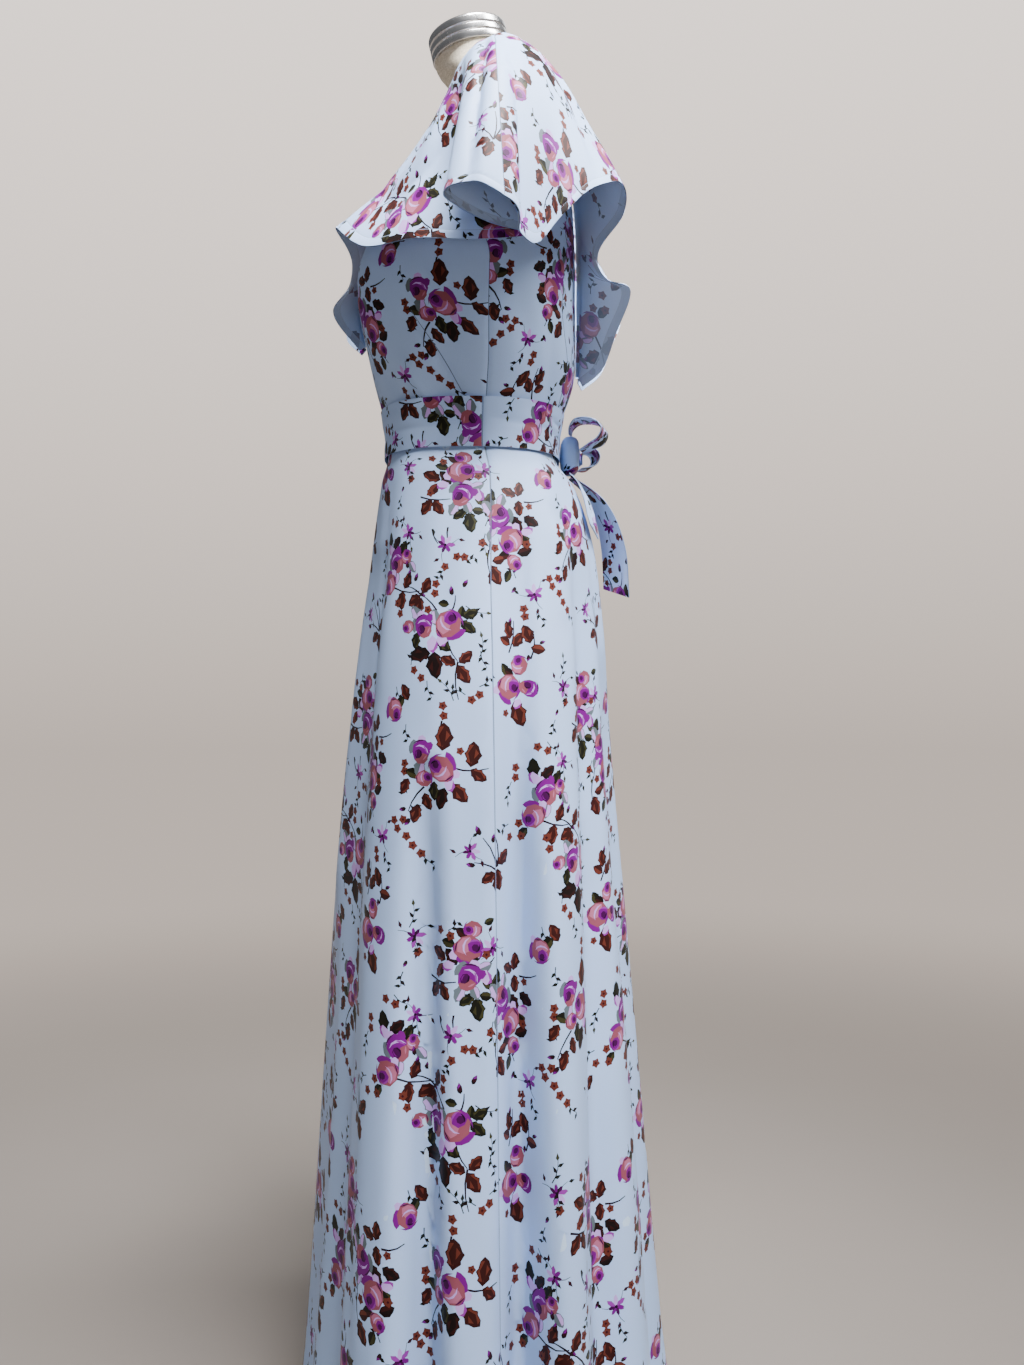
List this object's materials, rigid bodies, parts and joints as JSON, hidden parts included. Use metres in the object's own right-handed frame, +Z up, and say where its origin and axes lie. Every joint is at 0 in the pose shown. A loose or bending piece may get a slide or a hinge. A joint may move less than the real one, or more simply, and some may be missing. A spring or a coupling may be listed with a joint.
{
  "type": "maxi dress on dress form",
  "caption": "Long V-neck dress with a fluted flounce round the neck, a sash tied in a bow at the back waist and a flared skirt, standing on a limbless dress form.",
  "frame": {"origin": "on the floor, in the middle of the base's underside", "axes": "+Z up, the dress faces -Y, +X is the wearer's left"},
  "size_m": [0.6849, 0.4087, 1.5535],
  "materials": {
    "printed_crepe": "pale ice blue crepe with a soft sheen, printed with roses",
    "linen": "natural linen cover",
    "chrome": "polished, with turned grooves",
    "painted_steel": "off-white satin paint"
  },
  "bodies": {
    "root": {"bodice_front_left": "printed_crepe", "bodice_front_right": "printed_crepe", "bodice_back_left": "printed_crepe", "bodice_back_right": "printed_crepe", "flounce_front_left": "printed_crepe", "flounce_front_right": "printed_crepe", "flounce_back_left": "printed_crepe", "flounce_back_right": "printed_crepe", "belt_front": "printed_crepe", "belt_back_left": "printed_crepe", "belt_back_right": "printed_crepe", "belt_knot": "printed_crepe", "bow_loop_left": "printed_crepe", "bow_loop_right": "printed_crepe", "tie_end_left": "printed_crepe", "tie_end_right": "printed_crepe", "skirt_front": "printed_crepe", "skirt_back_left": "printed_crepe", "skirt_back_right": "printed_crepe", "form_torso": "linen", "form_neck_cap": "chrome", "form_pole": "painted_steel", "form_base": "painted_steel"}
  },
  "joints": []
}
